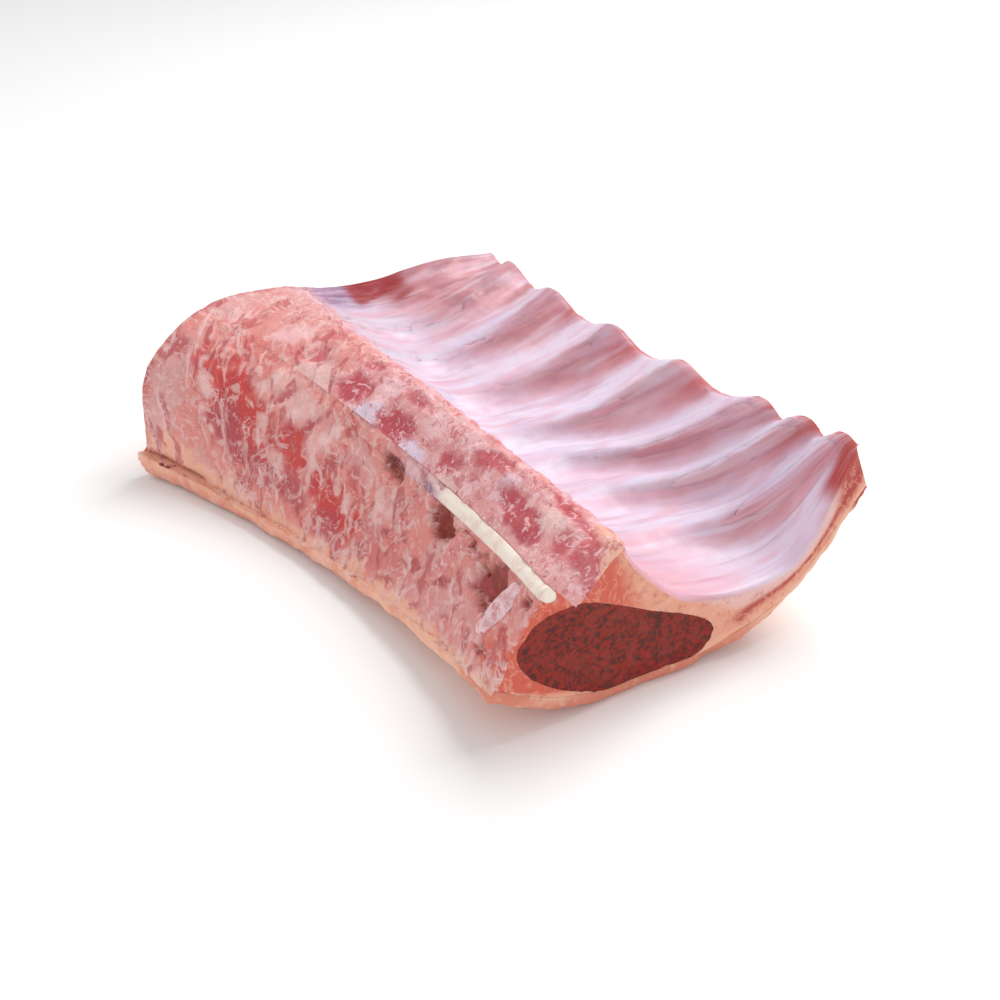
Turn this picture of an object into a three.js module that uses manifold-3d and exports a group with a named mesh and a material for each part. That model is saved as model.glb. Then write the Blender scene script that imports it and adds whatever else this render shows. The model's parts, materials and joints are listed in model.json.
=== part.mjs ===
// A raw rack of lamb, lying on its fat side with the inside of the ribs up. All sizes are in millimetres.
// X runs along the spine from the shoulder end to the loin end, Y from the sawn spine to the rib tips, Z is up.
// The origin is on the table, under the middle of the rack.
import * as THREE from 'three';
import { mergeVertices } from 'three/addons/utils/BufferGeometryUtils.js';
import Module from 'manifold-3d';

const wasm = await Module();
wasm.setup();

// ---- driving dimensions ----

const GAP = 0.3; // left between neighbouring pieces
const MIDDLE = { x: -11, y: 59 }; // of the rack in the cross-sections below, which is moved onto the origin

// The two ends in plan: where the meat is cut at the sawn spine, at the chine ridge and at the rib tips.
const SHOULDER_END = { spine: -101, ridge: -113, tip: -100 };
const LOIN_END = { spine: 83, ridge: 87, tip: 91 };
const PLAN = { spine: -20, ridge: 50, tip: 130 }; // how far across the rack those three lie

// Cross-sections at the shoulder end, half way and the loin end: [y, z] of the named points of the outline.
// The upper outline climbs the sawn face from its foot to the ridge, drops behind it and rises to the rib tips.
const UPPER = {
  foot: [[-19, 7], [10, 7], [13, 18]],
  belly: [[-13.5, 42], [22, 25], [19, 33]],
  canal: [[10, 57], [35, 42], [30, 48]],
  ridge: [[43, 55], [50, 54], [48, 57]],
  behind: [[60, 51], [60, 41], [59, 43]],
  valley: [[78, 51], [74, 31], [77, 27]],
  sheet: [[104, 56], [103, 36], [112, 26]],
  tip: [[128, 55], [129, 54], [131, 61]],
};
// The lower outline is the skin side: from the foot of the sawn face over the table to the rib tips.
const SKIN = {
  foot: [[-22, 2], [8, 3], [12, 15]],
  heel: [[0, 0], [26, 0], [31, 5]],
  floor: [[40, -1], [58, -1.5], [60, -1]],
  bend: [[84, 1], [88, 1], [91, 3]],
  flank: [[114, 22], [113, 15], [113, 13]],
  edge: [[136, 43], [138, 42], [140, 43]],
};
const FAT = {
  depth: [7.5, 4, 5], // under the eye of the loin, at the shoulder end, half way and at the loin end
  flankDepth: [4.2, 4.2, 3.4], // the same beyond the eye
  thinning: [0.35, 0.75], // the stretch of the skin over which it thins
};

// The long loin muscle: an oval that leans towards the rib tips and is flatter on top on that side.
const EYE = {
  middle: [[47, 21], [52, 20], [53, 21]],
  halfWidth: [25, 29, 32.5],
  halfHeight: [15, 15, 17],
  lean: [-0.05, -0.18, -0.25],
  flatter: 0.5, // how much lower it is on top towards the rib tips
  flattening: [-0.7, 0.6], // the stretch of its width over which it gets lower
  cover: 6, // meat left above it
};

const RIBS = {
  roots: [0.15, 0.25, 0.37, 0.5, 0.59, 0.69, 0.82], // behind the chine, as shares of the rack's length
  tips: [0.08, 0.225, 0.42, 0.605, 0.795, 0.89, 0.967],
  leanFrom: 0.78, // the share of the outline from which they lean away from each other
  lean: 1.3, // above 1 where they lean more and more
  halfWidth: 5.2,
  halfDepth: 3,
  proud: 1.2, // above the meat on its crest
};
const FURROW = { depth: 3, deepest: 0.95 }; // half way between two ribs, and where on the outline it is deepest
// Where the sawn chine ends and the ribs start, as shares of the way from the ridge to the drop behind it.
const BEHIND_RIDGE = { chineEnd: 0.45, ribStart: 0.7 };

const CHINE = { // the row of sawn vertebrae along the ridge
  count: 8,
  depth: 13, // into the meat at the canal
  depthBehind: 5, // into the meat behind the ridge
  waist: 3.5, // how much thinner a vertebra is half way
};
const CANAL = { height: 5.5, depth: 4.6, rounding: 0.4, start: 0.4 };
const FEATHERS = { // the feather bones that the saw opened, near the loin end
  at: [0.63, 0.765, 0.935], // shares of the rack's length
  height: 26, // below the canal
  root: 5, // above it, in the chine
  width: 6,
  depth: 3.6,
  slant: 8, // from the lower end to the root, towards the loin end
  dive: [0.6, 0.8], // the stretch over which it dives under the cord
  underCord: 1.2,
};
const PROUD = 0.4; // how far the sawn bone stands out of the meat

const SEGMENTS = {
  meat: [36, 18, 1],
  fat: [18, 18, 1],
  eye: [12, 18, 1],
  chine: [32, 5, 1],
  cord: [12, 2, 1],
  feather: [1, 7, 1],
};
const EYE_BAR = { sides: 18, steps: 9 };
const RIB_BAR = { sides: 8, steps: 11 };
const SAME_POINT = 1e-4; // points nearer to each other than this are one
const KEY_DIGITS = 6; // to which a cross-section's place is told from another's
const PAST_ENDS = 0.02; // share of the length by which a space to cut out runs past both ends
const PAST_FACE = 2; // how far a space for a sawn piece stands out of the meat

// ---- outlines ----

// A value that passes through the three given ones at the shoulder end (0), half way (0.5) and the loin end (1).
function along(values, u) {
  const [far, middle, near] = values;
  return far * 2 * (u - 0.5) * (u - 1) - middle * 4 * u * (u - 1) + near * 2 * u * (u - 0.5);
}

function smooth(low, high, value) {
  return THREE.MathUtils.smoothstep(value, low, high);
}

// The curve through an outline's named points in the cross-section at u, with y and z as its x and y.
const curves = new Map();
function outline(points, u) {
  const key = `${Object.keys(points)} ${u.toFixed(KEY_DIGITS)}`;
  if (!curves.has(key)) {
    const knots = Object.values(points).map((ends) => new THREE.Vector3(
      along(ends.map((end) => end[0]), u),
      along(ends.map((end) => end[1]), u),
      0,
    ));
    curves.set(key, new THREE.CatmullRomCurve3(knots, false, 'centripetal'));
  }
  return curves.get(key);
}

// Where the named points of the upper outline lie on its curve.
const UPPER_NAMES = Object.keys(UPPER);
const atKnot = (name) => UPPER_NAMES.indexOf(name) / (UPPER_NAMES.length - 1);
const CANAL_AT = atKnot('canal');
const CHINE_END_AT = THREE.MathUtils.lerp(atKnot('ridge'), atKnot('behind'), BEHIND_RIDGE.chineEnd);
const RIB_START_AT = THREE.MathUtils.lerp(atKnot('ridge'), atKnot('behind'), BEHIND_RIDGE.ribStart);

// The share of the upper outline's curve that a height along the sawn face takes.
function shareOf(height, u) {
  return height / outline(UPPER, u).getLength();
}

// Where a cross-section's point lies along the spine: both ends bulge with their distance from the spine.
function spineX(u, y) {
  const toRidge = smooth(PLAN.spine, PLAN.ridge, y);
  const toTip = smooth(PLAN.ridge, PLAN.tip, y);
  const endX = (end) => end.spine + (end.ridge - end.spine) * toRidge + (end.tip - end.ridge) * toTip;
  return THREE.MathUtils.lerp(endX(SHOULDER_END), endX(LOIN_END), u);
}

function place(u, y, z) {
  return new THREE.Vector3(spineX(u, y) - MIDDLE.x, y - MIDDLE.y, z);
}

// Where a rib lies along the rack, as a share of its length, at a share t of the outline.
function ribAt(rib, t) {
  const lean = THREE.MathUtils.clamp((t - RIBS.leanFrom) / (1 - RIBS.leanFrom), 0, 1) ** RIBS.lean;
  return THREE.MathUtils.lerp(RIBS.roots[rib], RIBS.tips[rib], lean);
}

// 1 on the crest of a rib and 0 half way between two.
function ribCrest(u, t) {
  const crests = RIBS.roots.map((root, rib) => ribAt(rib, t));
  const left = Math.max(0, ...crests.filter((crest) => crest <= u));
  const right = Math.min(1, ...crests.filter((crest) => crest > u));
  return 0.5 + 0.5 * Math.cos(2 * Math.PI * (u - left) / (right - left));
}

// A point of the upper outline, with the furrows between the ribs.
function upperPoint(u, t) {
  const p = outline(UPPER, u).getPoint(t);
  const furrow = FURROW.depth * smooth(RIB_START_AT, FURROW.deepest, t) * (1 - ribCrest(u, t));
  return [p.x, p.y - furrow];
}

// A point under the upper outline, at a depth measured square to it, and moved onward along it.
function under(u, t, depth, onward = 0) {
  const curve = outline(UPPER, u);
  const p = curve.getPoint(t);
  const { x, y } = curve.getTangent(t);
  return [p.x + y * depth + x * onward, p.y - x * depth + y * onward];
}

// A point of the skin, pressed flat where it would pass through the table.
function skinPoint(u, t) {
  const p = outline(SKIN, u).getPoint(t);
  return [p.x, Math.max(0, p.y)];
}

// A point on the inner side of the fat cover, or above it by a gap.
function fatTop(u, t, gap) {
  const [y, z] = skinPoint(u, t);
  const tangent = outline(SKIN, u).getTangent(t);
  const thinned = smooth(...FAT.thinning, t);
  const depth = THREE.MathUtils.lerp(along(FAT.depth, u), along(FAT.flankDepth, u), thinned) + gap;
  return [y - tangent.y * depth, z + tangent.x * depth];
}

// A point between two others, each [y, z].
function between(a, b, share) {
  return [THREE.MathUtils.lerp(a[0], b[0], share), THREE.MathUtils.lerp(a[1], b[1], share)];
}

// ---- closed shapes and their joins and cuts ----

function welded(geometry) {
  geometry.deleteAttribute('normal');
  geometry.deleteAttribute('uv');
  return mergeVertices(geometry, SAME_POINT);
}

function solid(geometry) {
  return new wasm.Manifold(new wasm.Mesh({
    numProp: 3,
    vertProperties: new Float32Array(geometry.attributes.position.array),
    triVerts: new Uint32Array(geometry.index.array),
  }));
}

function geometryOf(manifold) {
  const mesh = manifold.getMesh();
  const geometry = new THREE.BufferGeometry();
  geometry.setAttribute('position', new THREE.BufferAttribute(mesh.vertProperties, 3));
  geometry.setIndex(new THREE.BufferAttribute(mesh.triVerts, 1));
  return geometry;
}

// A block bent to its place: bend gets three shares between 0 and 1 for each of its points.
function bentBlock(segments, bend) {
  const block = new THREE.BoxGeometry(1, 1, 1, ...segments);
  const position = block.attributes.position;
  for (let i = 0; i < position.count; i += 1) {
    const p = bend(position.getX(i) + 0.5, position.getY(i) + 0.5, position.getZ(i) + 0.5);
    position.setXYZ(i, p.x, p.y, p.z);
  }
  return solid(welded(block));
}

// A bent block along the rack. A space to cut out has one more segment at each end, which runs past it.
function longBlock([count, ...others], isSpace, bend) {
  const steps = isSpace ? count + 2 : count;
  const past = isSpace ? PAST_ENDS : 0;
  return bentBlock([steps, ...others], (share, v, w) => {
    const step = Math.round(share * steps) - (isSpace ? 1 : 0);
    return bend(THREE.MathUtils.clamp(step / count, -past, 1 + past), v, w);
  });
}

// A round bar bent to its place: bend gets the share of its length and a point of the unit circle.
function bentBar({ sides, steps }, bend) {
  const bar = new THREE.CylinderGeometry(1, 1, 1, sides, steps);
  const position = bar.attributes.position;
  for (let i = 0; i < position.count; i += 1) {
    const p = bend(position.getY(i) + 0.5, position.getX(i), position.getZ(i));
    position.setXYZ(i, p.x, p.y, p.z);
  }
  return solid(welded(bar));
}

// Without the loose scraps that a cut leaves.
function largestPiece(manifold) {
  const pieces = manifold.decompose();
  return pieces.reduce((best, piece) => (piece.volume() > best.volume() ? piece : best));
}

// ---- fat and meat ----

// The layer between the skin and the meat, right through the rack.
function fatCover() {
  return bentBlock(SEGMENTS.fat, (u, v, w) => {
    const [y, z] = between(skinPoint(u, v), fatTop(u, v, 0), w);
    return place(u, y, z);
  });
}

// Everything above the fat cover in one block, with its upper side raised or lowered by lift.
function body(segments, lift, isSpace) {
  return longBlock(segments, isSpace, (u, v, w) => {
    const [topY, topZ] = upperPoint(u, v);
    const [y, z] = between(fatTop(u, v, isSpace ? -GAP : GAP), [topY, topZ + lift], w);
    return place(u, y, z);
  });
}

// The eye of the loin, from end to end and a little beyond; grow makes it larger all round.
function eyeBar(grow) {
  return bentBar(EYE_BAR, (share, across, up) => {
    const u = THREE.MathUtils.lerp(-2 * PAST_ENDS, 1 + 2 * PAST_ENDS, share);
    const toTips = -across;
    const flatter = up > 0 ? EYE.flatter * smooth(...EYE.flattening, toTips) : 0;
    const height = along(EYE.halfHeight, u) * (1 - flatter);
    const right = toTips * (along(EYE.halfWidth, u) + grow);
    const y = along(EYE.middle.map((point) => point[0]), u) + right;
    const z = along(EYE.middle.map((point) => point[1]), u) + right * along(EYE.lean, u) + up * (height + grow);
    return place(u, y, z);
  });
}

// ---- bones and cord ----

// How far the outer side of a sawn piece, or of the space for it, stands out of the meat.
function standOut(grow) {
  return grow > 0 ? PAST_FACE : PROUD;
}

// The row of vertebrae, split down the middle by the saw: thick at the joints and thinner between them.
function chine(grow) {
  return longBlock(SEGMENTS.chine, grow > 0, (u, v, w) => {
    const waist = CHINE.waist * Math.sin(Math.PI * CHINE.count * u) ** 2;
    const deepest = under(u, CANAL_AT, CHINE.depth + grow - waist, -grow);
    const deepestBehind = under(u, CHINE_END_AT, CHINE.depthBehind, grow);
    const top = THREE.MathUtils.lerp(CANAL_AT, CHINE_END_AT, v);
    const outside = under(u, top, -standOut(grow), grow * (2 * v - 1));
    const [y, z] = between(between(deepest, deepestBehind, v), outside, w);
    return place(u, y, z);
  });
}

// A feather bone: the sawn spine of a vertebra, which passes under the cord to join it.
function featherBone(u, grow) {
  const high = CANAL_AT + shareOf(FEATHERS.root, u);
  const low = CANAL_AT - shareOf(CANAL.height + FEATHERS.height + grow, u);
  return bentBlock(SEGMENTS.feather, (across, v, w) => {
    const face = THREE.MathUtils.lerp(-PROUD, CANAL.depth + FEATHERS.underCord, smooth(...FEATHERS.dive, v));
    const depth = THREE.MathUtils.lerp(face + FEATHERS.depth + grow, face - grow, w);
    const [y, z] = under(u, THREE.MathUtils.lerp(low, high, v), depth);
    const p = place(u, y, z);
    p.x += (across - 0.5) * (FEATHERS.width + 2 * grow) + FEATHERS.slant * (v - 0.5);
    return p;
  });
}

// The sawn backbone in one piece: the chine with the feather bones that show.
function backbone(grow) {
  return FEATHERS.at.reduce((bones, at) => bones.add(featherBone(at, grow)), chine(grow));
}

// The spinal cord in its canal, from where the saw opened it to the loin end.
function spinalCord(grow) {
  return longBlock(SEGMENTS.cord, grow > 0, (share, v, w) => {
    const u = THREE.MathUtils.lerp(CANAL.start, 1, share);
    const top = CANAL_AT - shareOf(GAP - grow, u);
    const bottom = top - shareOf(CANAL.height + 2 * grow, u);
    const deep = CANAL.depth * (1 - CANAL.rounding * (2 * v - 1) ** 2) + grow;
    const [y, z] = under(u, THREE.MathUtils.lerp(bottom, top, v), THREE.MathUtils.lerp(deep, -standOut(grow), w));
    return place(u, y, z);
  });
}

// One rib bone, an oval bar that follows the inside of the chest from the chine to its sawn tip.
function ribBone(rib, grow) {
  const start = RIB_START_AT - shareOf(grow, RIBS.roots[rib]);
  return bentBar(RIB_BAR, (share, across, up) => {
    const t = THREE.MathUtils.lerp(start, 1, share);
    const u = ribAt(rib, t);
    const depth = RIBS.halfDepth - RIBS.proud - up * (RIBS.halfDepth + grow);
    const [y, z] = under(u, t, depth);
    const pastTip = share === 1 ? PROUD + grow : 0;
    const p = place(u, y + pastTip, z);
    p.x += across * (RIBS.halfWidth + grow);
    return p;
  });
}

// ---- the rack ----

const rack = new THREE.Group();

function addPiece(name, manifold, color, roughness) {
  const material = new THREE.MeshStandardMaterial({ color, roughness, metalness: 0 });
  const mesh = new THREE.Mesh(geometryOf(largestPiece(manifold)), material);
  mesh.name = name;
  rack.add(mesh);
}

// Each piece is cut clear of those made before it, and what they leave is the meat.
const taken = [];
function clearOfOthers(shape, space) {
  const piece = taken.reduce((rest, other) => rest.subtract(other), shape);
  taken.push(space);
  return piece;
}

addPiece('fat_cover', fatCover(), 0xeeb795, 0.45);
addPiece('backbone', clearOfOthers(backbone(0), backbone(GAP)), 0xd98f8d, 0.5);
addPiece('spinal_cord', clearOfOthers(spinalCord(0), spinalCord(GAP)), 0xf0e1d7, 0.35);
RIBS.roots.forEach((root, rib) => {
  addPiece(`rib_bone_${rib + 1}`, clearOfOthers(ribBone(rib, 0), ribBone(rib, GAP)), 0xdcc3cf, 0.35);
});
const eye = body(SEGMENTS.eye, -EYE.cover, false).intersect(eyeBar(0));
const eyeSpace = body(SEGMENTS.eye, GAP - EYE.cover, true).intersect(eyeBar(GAP));
addPiece('loin_eye', clearOfOthers(eye, eyeSpace), 0x7a2a26, 0.4);
addPiece('rack_meat', clearOfOthers(body(SEGMENTS.meat, 0, false), null), 0xc47f7a, 0.4);

export default rack;
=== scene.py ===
"""The looks of a raw rack of lamb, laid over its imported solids.

The tables below are in millimetres: x along the spine, y across the rack from the sawn spine to the rib
tips and z up. u runs from 0 at the shoulder end to 1 at the loin end, v from 0 to 1 across an outline,
and w from 0 at the fat cover to 1 at the outer face. Meshes are in metres.
"""
import json
import math

import bmesh
import bpy
import numpy as np
from bpy.props import FloatProperty, FloatVectorProperty, IntProperty, PointerProperty
from bpy.types import Operator, Panel, PropertyGroup
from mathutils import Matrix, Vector, kdtree, noise

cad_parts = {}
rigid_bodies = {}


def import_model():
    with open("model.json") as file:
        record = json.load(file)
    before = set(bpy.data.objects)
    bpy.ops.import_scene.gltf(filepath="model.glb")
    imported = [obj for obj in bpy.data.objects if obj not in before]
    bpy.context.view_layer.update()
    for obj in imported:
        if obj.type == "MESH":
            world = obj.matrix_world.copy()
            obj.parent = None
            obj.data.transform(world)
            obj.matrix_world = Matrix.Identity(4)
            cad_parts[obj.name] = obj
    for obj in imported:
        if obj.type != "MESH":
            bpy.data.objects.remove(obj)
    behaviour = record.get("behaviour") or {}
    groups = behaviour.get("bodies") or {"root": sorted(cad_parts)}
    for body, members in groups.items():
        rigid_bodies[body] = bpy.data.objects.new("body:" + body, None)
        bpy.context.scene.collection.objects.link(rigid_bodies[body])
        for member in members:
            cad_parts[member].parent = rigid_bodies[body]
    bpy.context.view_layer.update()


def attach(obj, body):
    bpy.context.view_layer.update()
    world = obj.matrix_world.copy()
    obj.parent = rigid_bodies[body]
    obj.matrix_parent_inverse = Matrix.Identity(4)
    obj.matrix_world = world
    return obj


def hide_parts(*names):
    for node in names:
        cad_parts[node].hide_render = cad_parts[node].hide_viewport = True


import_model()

bl_info = {
    "name": "Raw rack of lamb",
    "version": (1, 0, 0),
    "blender": (4, 5, 0),
    "location": "3D View > Sidebar > Rack",
    "description": "Models and colours a raw rack of lamb over its solids",
    "category": "Add Mesh",
}

# ---- the rack's form, in millimetres ----

MM = 0.001
MIDDLE = (-11.0, 59.0)  # x and y of the rack's middle in the outlines, moved onto the origin

SHOULDER_END = {"spine": -101, "ridge": -113, "tip": -100}
LOIN_END = {"spine": 83, "ridge": 87, "tip": 91}
PLAN = {"spine": -20, "ridge": 50, "tip": 130}

# [y, z] of each named point at the shoulder end, half way and the loin end.
UPPER = {
    "foot": ((-19, 7), (10, 7), (13, 18)),
    "belly": ((-13.5, 42), (22, 25), (19, 33)),
    "canal": ((10, 57), (35, 42), (30, 48)),
    "ridge": ((43, 55), (50, 54), (48, 57)),
    "behind": ((60, 51), (60, 41), (59, 43)),
    "valley": ((78, 51), (74, 31), (77, 27)),
    "sheet": ((104, 56), (103, 36), (112, 26)),
    "tip": ((128, 55), (129, 54), (131, 61)),
}
SKIN = {
    "foot": ((-22, 2), (8, 3), (12, 15)),
    "heel": ((0, 0), (26, 0), (31, 5)),
    "floor": ((40, -1), (58, -1.5), (60, -1)),
    "bend": ((84, 1), (88, 1), (91, 3)),
    "flank": ((114, 22), (113, 15), (113, 13)),
    "edge": ((136, 43), (138, 42), (140, 43)),
}
FAT_DEPTH = (7.5, 4, 5)
FLANK_FAT = (4.2, 4.2, 3.4)
FAT_THINNING = (0.35, 0.75)

EYE_MIDDLE = ((47, 21), (52, 20), (53, 21))
EYE_HALF_WIDTH = (25, 29, 32.5)
EYE_HALF_HEIGHT = (15, 15, 17)
EYE_LEAN = (-0.05, -0.18, -0.25)
EYE_FLATTER = 0.5
EYE_FLATTENING = (-0.7, 0.6)
EYE_COVER = 6.0

RIB_ROOTS = (0.15, 0.25, 0.37, 0.5, 0.59, 0.69, 0.82)
RIB_TIPS = (0.08, 0.225, 0.42, 0.605, 0.795, 0.89, 0.967)
LEAN_FROM = 0.78
LEAN = 1.3
RIB_HALF_WIDTH = 5.2
RIB_HALF_DEPTH = 3.0
RIB_PROUD = 1.2
RIB_FURROW = 3.0
RIB_WEAR = 0.25  # by how much a rib is narrower at its sawn tip
KNOB_WEAR = 2.2  # by how much the corner beyond the last rib's tip is worn down
RIB_WRAP = 6.0  # from a rib's middle to where the meat over it has sunk to about a third of its rise
MEMBRANE = 0.5  # over a rib's crest
TIPS_OUTLINE = 1.3  # how many times as long the outline is at the tips as OUTLINE says

VERTEBRAE = 8
CHINE_DEPTH = 13.0
CHINE_DEPTH_BEHIND = 5.0
CHINE_WAIST = 3.5
CHINE_ENDS = 0.45  # where the chine ends, as a share of the way from the ridge to the point behind it
RIBS_START = 0.7  # where the ribs start, in the same way

CANAL_HEIGHT = 5.5
CANAL_DEPTH = 4.6
CANAL_START = 0.4
CORD_SHOWS = (0.38, 0.5)  # the stretch of the cord over which it comes to the surface

FEATHERS = (0.63, 0.765, 0.935)  # where along the rack the saw opened a feather bone
FEATHER_HEIGHT = 26.0
FEATHER_ROOT = 5.0
FEATHER_WIDTH = 6.0
FEATHER_DEPTH = 3.6
FEATHER_SLANT = 8.0
FEATHER_DIVE = (0.6, 0.8)  # the stretch of each over which it dives under the cord
FEATHER_PALE = (0.0, 0.1, 1.0)  # how much of each shows as pale bone
UNDER_CORD = 1.2

PROUD = 0.4
GAP = 0.3
SEAM_LAP = 0.15  # by which the meat reaches into the fat, so that no slit shows between them
LENGTH = 190.0  # of the rack between its ends, near enough for patches and patterns
OUTLINE = 180.0  # of the upper outline, in the same way
FACE_HEIGHT = 48.0  # from the foot of the sawn face to the canal
CHINE_WIDTH = 27.0  # from the canal to where the ribs start
MEAT_CORNER = 1.6  # radius to which the cut edges of the meat are worn
FAT_CORNER = 2.8  # the same for the fat
FAT_DEEPEST = 4.5  # of the fat at its edges
SAWN_FROM = (0.36, 0.5)  # the stretch of the rack over which the sawn bone starts to stand out
EYE_CUT = (94, 97)  # from the rack's middle, the stretch over which the loin muscle turns uneven
RIB_GRAIN = 0.00012  # metres by which a rib bone is uneven
CORD_LUMPS = 0.0003  # the same for the bare cord

# Shares of a piece's length or outline that count as its very end.
SAWN_END = 0.999
CUT_END = 0.9999
CUT_PAINT = 0.002  # share of a side over which the paint of a cut end starts

# ---- the view ----

AZIMUTH = 58.0  # of the camera round the rack, in degrees, from 0 where it looks along +Y
ELEVATION = 32.0
SENSOR_WIDTH = 36.0  # of the camera, in millimetres
FRAME_PIXELS = 1000.0
FOCAL_PIXELS = 1257.6
SHIFT_UP = -0.02  # of the lens, as a share of the frame
TARGET = (11.0, 9.8, 21.5)  # what the camera looks at, in millimetres

# ---- outlines, on arrays of points ----


def along(values, u):
    """The value through the three given ones at the shoulder end, half way and the loin end."""
    far, middle, near = values
    return far * 2 * (u - 0.5) * (u - 1) - middle * 4 * u * (u - 1) + near * 2 * u * (u - 0.5)


def smooth(low, high, value):
    """0 below low and 1 above high, with a soft start and end."""
    share = np.clip((value - low) / (high - low), 0, 1)
    return share * share * (3 - 2 * share)


def fade(low, high, value):
    """1 below low and 0 above high."""
    return 1 - smooth(low, high, value)


def mix(a, b, share):
    return a + (b - a) * share


def outline(points, u, v):
    """[y, z] on the centripetal curve through an outline's named points, at each u and v."""
    knots = np.array([[along([end[axis] for end in ends], u) for axis in (0, 1)] for ends in points.values()])
    knots = np.moveaxis(knots, 1, 2)
    knots = np.concatenate([2 * knots[:1] - knots[1:2], knots, 2 * knots[-1:] - knots[-2:-1]])
    passed = v * (len(points) - 1)
    span = np.clip(np.floor(passed).astype(int), 0, len(points) - 2)
    share = (passed - span)[:, None]
    row = np.arange(len(u))
    p0, p1, p2, p3 = (knots[span + step, row] for step in range(4))
    d0, d1, d2 = (np.sqrt(np.linalg.norm(b - a, axis=1))[:, None] for a, b in ((p0, p1), (p1, p2), (p2, p3)))
    leave = ((p1 - p0) / d0 - (p2 - p0) / (d0 + d1) + (p2 - p1) / d1) * d1
    arrive = ((p2 - p1) / d1 - (p3 - p1) / (d1 + d2) + (p3 - p2) / d2) * d1
    bend = (-3 * p1 + 3 * p2 - 2 * leave - arrive) * share**2
    return p1 + leave * share + bend + (2 * p1 - 2 * p2 + leave + arrive) * share**3


def tangent(points, u, v):
    step = 1e-4
    ahead = outline(points, u, np.minimum(v + step, 1)) - outline(points, u, np.maximum(v - step, 0))
    return ahead / np.linalg.norm(ahead, axis=1)[:, None]


def knot(name):
    return list(UPPER).index(name) / (len(UPPER) - 1)


CANAL_AT = knot("canal")
CHINE_END_AT = mix(knot("ridge"), knot("behind"), CHINE_ENDS)
RIB_START_AT = mix(knot("ridge"), knot("behind"), RIBS_START)


def outline_length(u):
    steps = np.linspace(0, 1, 41)
    points = np.array([outline(UPPER, u, np.full_like(u, step)) for step in steps])
    return np.linalg.norm(np.diff(points, axis=0), axis=2).sum(axis=0)


def place(u, yz):
    """A cross-section's points in the part's own frame, in millimetres."""
    y = yz[:, 0]
    to_ridge = smooth(PLAN["spine"], PLAN["ridge"], y)
    to_tip = smooth(PLAN["ridge"], PLAN["tip"], y)

    def end_at(end):
        return end["spine"] + (end["ridge"] - end["spine"]) * to_ridge + (end["tip"] - end["ridge"]) * to_tip

    x = mix(end_at(SHOULDER_END), end_at(LOIN_END), u)
    return np.stack([x - MIDDLE[0], y - MIDDLE[1], yz[:, 1]], axis=1)


def rib_at(rib, v):
    """Where a rib lies along the rack, at each share v of the outline."""
    lean = np.clip((v - LEAN_FROM) / (1 - LEAN_FROM), 0, 1) ** LEAN
    return mix(RIB_ROOTS[rib], RIB_TIPS[rib], lean)


def rib_phase(u, v):
    """How far each point is from one rib's crest, 0, to the next one's, 1, and between which two it lies."""
    crests = np.stack([0 * v] + [rib_at(rib, v) for rib in range(len(RIB_ROOTS))] + [0 * v + 1])
    span = np.clip((crests <= u).sum(axis=0) - 1, 0, len(crests) - 2)
    row = np.arange(len(u))
    low, high = crests[span, row], crests[span + 1, row]
    return (u - low) / (high - low), span


def rib_root(u, v):
    """Where a line that leans as the ribs do, and passes through each point, starts along the rack."""
    phase, span = rib_phase(u, v)
    roots = np.array((0.0,) + RIB_ROOTS + (1.0,))
    return mix(roots[span], roots[span + 1], phase)


def nearest_rib(u, v):
    """The distance along the spine to the nearest rib's middle, in millimetres."""
    return np.abs(np.stack([u - rib_at(rib, v) for rib in range(len(RIB_ROOTS))])).min(axis=0) * LENGTH


def under(u, v, depth):
    """Points at a depth under the upper outline, measured square to it."""
    point = outline(UPPER, u, v)
    run = tangent(UPPER, u, v)
    return point + np.stack([run[:, 1], -run[:, 0]], axis=1) * np.asarray(depth)[..., None]


def upper(u, v):
    """The upper outline with the furrows between the ribs and the membrane that covers them."""
    point = outline(UPPER, u, v)
    phase, _ = rib_phase(u, v)
    crest = 0.5 + 0.5 * np.cos(2 * np.pi * phase)
    on_ribs = smooth(RIB_START_AT, 0.98, v) ** 1.3
    near = np.exp(-((nearest_rib(u, v) / RIB_WRAP) ** 2))
    point[:, 1] += (RIB_PROUD + MEMBRANE) * near * smooth(RIB_START_AT - 0.04, RIB_START_AT + 0.03, v)
    point[:, 1] -= RIB_FURROW * on_ribs * (1 - crest) * (1 - near)
    return point


def skin(u, v):
    point = outline(SKIN, u, v)
    point[:, 1] = np.maximum(point[:, 1], 0)
    return point


def fat_top(u, v, gap):
    run = tangent(SKIN, u, v)
    depth = mix(along(FAT_DEPTH, u), along(FLANK_FAT, u), smooth(*FAT_THINNING, v)) + gap
    return skin(u, v) + np.stack([-run[:, 1], run[:, 0]], axis=1) * depth[:, None]


def corner_drop(radius, *distances):
    """How far a rounded corner lies under a face, at distances from the corner's edges."""
    reach = sum(np.maximum(radius - distance, 0) ** 2 for distance in distances)
    return radius - np.sqrt(np.maximum(radius**2 - reach, 0))


def tip_drop(v):
    """How far the worn edge along the rib tips lies under the outline."""
    return corner_drop(MEAT_CORNER, (1 - v) * OUTLINE * TIPS_OUTLINE)


def from_ends(u):
    """The distance to the nearer end of the rack, in millimetres."""
    return np.minimum(u, 1 - u) * LENGTH


# ---- colours laid on the points of a piece ----


def linear(*levels):
    """A screen colour from 0 to 255 as scene light."""
    shares = [level / 255 for level in levels]
    return tuple(share / 12.92 if share <= 0.04045 else ((share + 0.055) / 1.055) ** 2.4 for share in shares)


def colour(label, purpose, *levels):
    return FloatVectorProperty(
        name=label, description=purpose, subtype="COLOR", size=3, min=0, max=1, default=linear(*levels)
    )


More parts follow.
